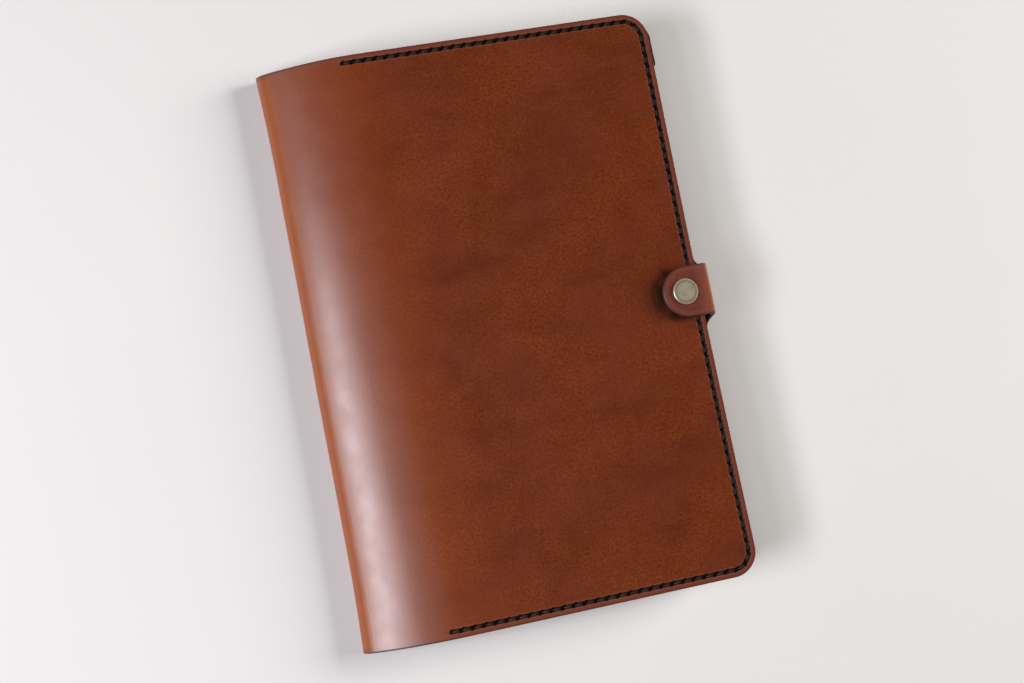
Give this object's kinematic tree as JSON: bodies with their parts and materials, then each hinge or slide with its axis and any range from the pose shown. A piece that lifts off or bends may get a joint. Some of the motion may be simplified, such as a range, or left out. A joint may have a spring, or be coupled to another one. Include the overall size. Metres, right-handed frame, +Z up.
{
  "type": "notebook cover",
  "caption": "Hand-stitched leather cover, closed around a soft-cover notebook, with a strap and tab that snap onto the front.",
  "frame": {"origin": "centre of the bounding box, at the level of the surface that the closed cover lies on", "axes": "+X from the spine to the fore edge, +Y from tail to head, +Z up through the closed cover"},
  "size_m": [0.1608, 0.222, 0.0251],
  "materials": {
    "tan_leather": "satin vegetable-tanned leather with burnished edges",
    "lining_leather": "matte split leather",
    "waxed_thread": "black waxed linen thread",
    "antique_brass": "antiqued, lightly scratched",
    "spring_steel": "bright wire",
    "notebook_card": null,
    "paper": null,
    "binding_cloth": "glued cotton gauze"
  },
  "bodies": {
    "back": {"back_cover": "tan_leather", "back_pocket_lining": "lining_leather", "back_seam_thread": "waxed_thread", "notebook_cover": "notebook_card", "spine_liner": "binding_cloth", "page_section_1": "paper", "page_section_2": "paper", "page_section_3": "paper", "page_section_4": "paper", "page_section_5": "paper", "page_section_6": "paper"},
    "spine_edge": {"spine_edge": "tan_leather"},
    "spine_slope": {"spine_slope": "tan_leather"},
    "front": {"front_cover": "tan_leather", "front_pocket_lining": "lining_leather", "front_seam_thread": "waxed_thread", "snap_stud": "antique_brass", "snap_eyelet": "antique_brass"},
    "strap": {"strap": "tan_leather"},
    "tab": {"closure_tab": "tan_leather", "snap_cap": "antique_brass", "snap_socket": "antique_brass", "snap_spring": "spring_steel"}
  },
  "joints": [
    {"name": "cover_opening", "type": "hinge", "parent": "back", "child": "spine_edge", "pos_m": [-0.07861, 0, 0.00081], "axis": [0, -1, 0], "range_deg": [0, 71.5]},
    {"name": "upper_spine_fold", "type": "hinge", "parent": "spine_edge", "child": "spine_slope", "pos_m": [-0.08021, 0, 0.00558], "axis": [0, -1, 0], "range_deg": [0, 71.5]},
    {"name": "front_fold", "type": "hinge", "parent": "spine_slope", "child": "front", "pos_m": [-0.06162, 0, 0.01672], "axis": [0, -1, 0], "range_deg": [0, 37]},
    {"name": "strap_swing", "type": "hinge", "parent": "back", "child": "strap", "pos_m": [0.07962, 0, 0.00162], "axis": [0, 1, 0], "range_deg": [0, 107]},
    {"name": "tab_lift", "type": "hinge", "parent": "strap", "child": "tab", "pos_m": [0.07521, 0, 0.02046], "axis": [0, 1, 0], "range_deg": [0, 49]}
  ],
  "couplings": [
    {"joint": "upper_spine_fold", "follows": "cover_opening", "ratio": 1},
    {"joint": "front_fold", "follows": "cover_opening", "ratio": 0.51748}
  ]
}
